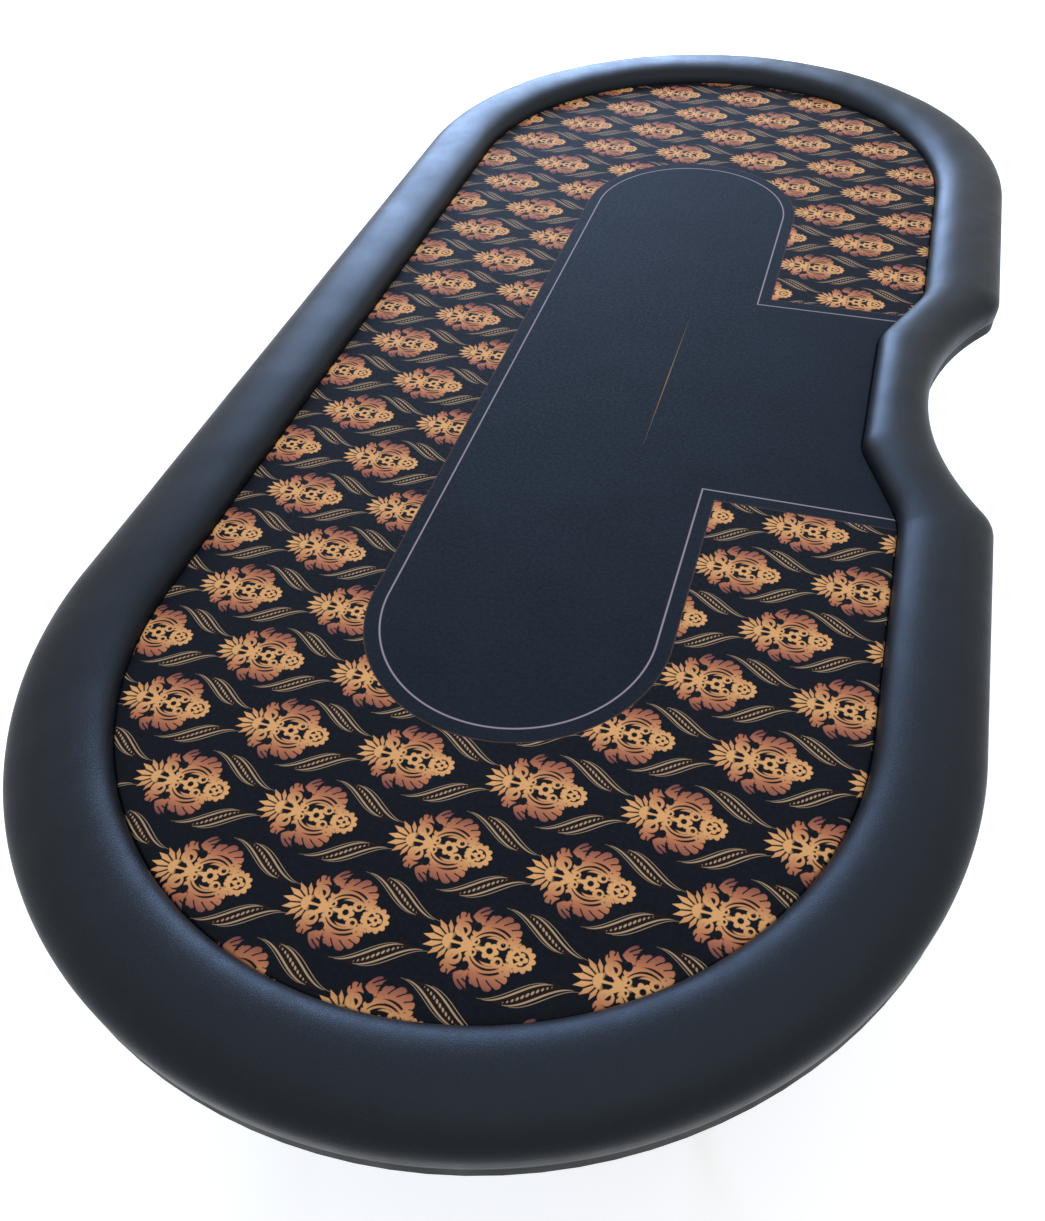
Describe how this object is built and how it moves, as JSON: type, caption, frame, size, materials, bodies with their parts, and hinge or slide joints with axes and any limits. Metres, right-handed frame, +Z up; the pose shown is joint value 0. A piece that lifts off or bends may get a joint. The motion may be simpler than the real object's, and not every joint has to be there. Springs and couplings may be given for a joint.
{
  "type": "gaming table",
  "caption": "Oval card table with a padded rail, a dealer's bay in one long side and a printed cloth field, on folding steel leg frames with linked stays.",
  "frame": {"origin": "on the floor under the middle of the table", "axes": "+Z up, +Y along the table towards the dealer's right, +X towards the dealer's side"},
  "size_m": [1.12, 2.4396, 0.791],
  "materials": {
    "rail_vinyl": "matt black vinyl with a fine grain",
    "printed_cloth": "printed woven polyester, near-black with a copper and gold damask",
    "rail_foam": "firm upholstery foam",
    "pad_foam": "closed-cell foam sheet",
    "painted_plywood": "birch plywood painted matt black",
    "plywood": "bare birch plywood",
    "powder_coated_steel": "black powder coat, fine texture",
    "zinc_plated_steel": "bright zinc plate",
    "foot_rubber": "moulded black rubber",
    "plug_plastic": "moulded black polyethylene"
  },
  "bodies": {
    "table_top": {"deck_board": "painted_plywood", "rail_board": "plywood", "rail_foam": "rail_foam", "rail_cover": "rail_vinyl", "rail_bolts": "zinc_plated_steel", "rail_washers": "zinc_plated_steel", "rail_tee_nuts": "zinc_plated_steel", "playing_board": "plywood", "playing_pad": "pad_foam", "playing_cloth": "printed_cloth", "playing_board_screws": "zinc_plated_steel", "left_leg_brackets": "powder_coated_steel", "left_bracket_screws": "zinc_plated_steel", "left_pivot_pins": "zinc_plated_steel", "left_stay_brackets": "powder_coated_steel", "left_stay_bracket_screws": "zinc_plated_steel", "left_stay_deck_pins": "zinc_plated_steel", "right_leg_brackets": "powder_coated_steel", "right_bracket_screws": "zinc_plated_steel", "right_pivot_pins": "zinc_plated_steel", "right_stay_brackets": "powder_coated_steel", "right_stay_bracket_screws": "zinc_plated_steel", "right_stay_deck_pins": "zinc_plated_steel"},
    "left_leg_frame": {"left_dealer_side_leg": "powder_coated_steel", "left_player_side_leg": "powder_coated_steel", "left_leg_plugs": "plug_plastic", "left_foot_caps": "foot_rubber", "left_upper_crossbar": "powder_coated_steel", "left_lower_crossbar": "powder_coated_steel", "left_stay_leg_pins": "zinc_plated_steel"},
    "left_upper_stay": {"left_upper_stay_links": "zinc_plated_steel", "left_release_bar": "zinc_plated_steel"},
    "left_lower_stay": {"left_lower_stay_links": "zinc_plated_steel", "left_stay_joint_rivets": "zinc_plated_steel"},
    "right_leg_frame": {"right_dealer_side_leg": "powder_coated_steel", "right_player_side_leg": "powder_coated_steel", "right_leg_plugs": "plug_plastic", "right_foot_caps": "foot_rubber", "right_upper_crossbar": "powder_coated_steel", "right_lower_crossbar": "powder_coated_steel", "right_stay_leg_pins": "zinc_plated_steel"},
    "right_upper_stay": {"right_upper_stay_links": "zinc_plated_steel", "right_release_bar": "zinc_plated_steel"},
    "right_lower_stay": {"right_lower_stay_links": "zinc_plated_steel", "right_stay_joint_rivets": "zinc_plated_steel"}
  },
  "joints": [
    {"name": "left_leg_fold", "type": "hinge", "parent": "table_top", "child": "left_leg_frame", "pos_m": [0, -0.765, 0.696], "axis": [1, 0, 0], "range_deg": [0, 94]},
    {"name": "left_upper_stay_turn", "type": "hinge", "parent": "table_top", "child": "left_upper_stay", "pos_m": [0, -0.515, 0.696], "axis": [1, 0, 0], "range_deg": [-38.37, 0]},
    {"name": "left_lower_stay_turn", "type": "hinge", "parent": "left_leg_frame", "child": "left_lower_stay", "pos_m": [0, -0.77965, 0.48651], "axis": [1, 0, 0], "range_deg": [0, 47.65]},
    {"name": "right_leg_fold", "type": "hinge", "parent": "table_top", "child": "right_leg_frame", "pos_m": [0, 0.765, 0.696], "axis": [-1, 0, 0], "range_deg": [0, 94]},
    {"name": "right_upper_stay_turn", "type": "hinge", "parent": "table_top", "child": "right_upper_stay", "pos_m": [0, 0.515, 0.696], "axis": [-1, 0, 0], "range_deg": [-38.37, 0]},
    {"name": "right_lower_stay_turn", "type": "hinge", "parent": "right_leg_frame", "child": "right_lower_stay", "pos_m": [0, 0.77965, 0.48651], "axis": [-1, 0, 0], "range_deg": [0, 47.65]}
  ],
  "couplings": [
    {"joint": "left_upper_stay_turn", "follows": "left_leg_fold", "ratio": -0.40813},
    {"joint": "left_lower_stay_turn", "follows": "left_leg_fold", "ratio": 0.50677},
    {"joint": "right_upper_stay_turn", "follows": "right_leg_fold", "ratio": -0.40813},
    {"joint": "right_lower_stay_turn", "follows": "right_leg_fold", "ratio": 0.50677}
  ]
}
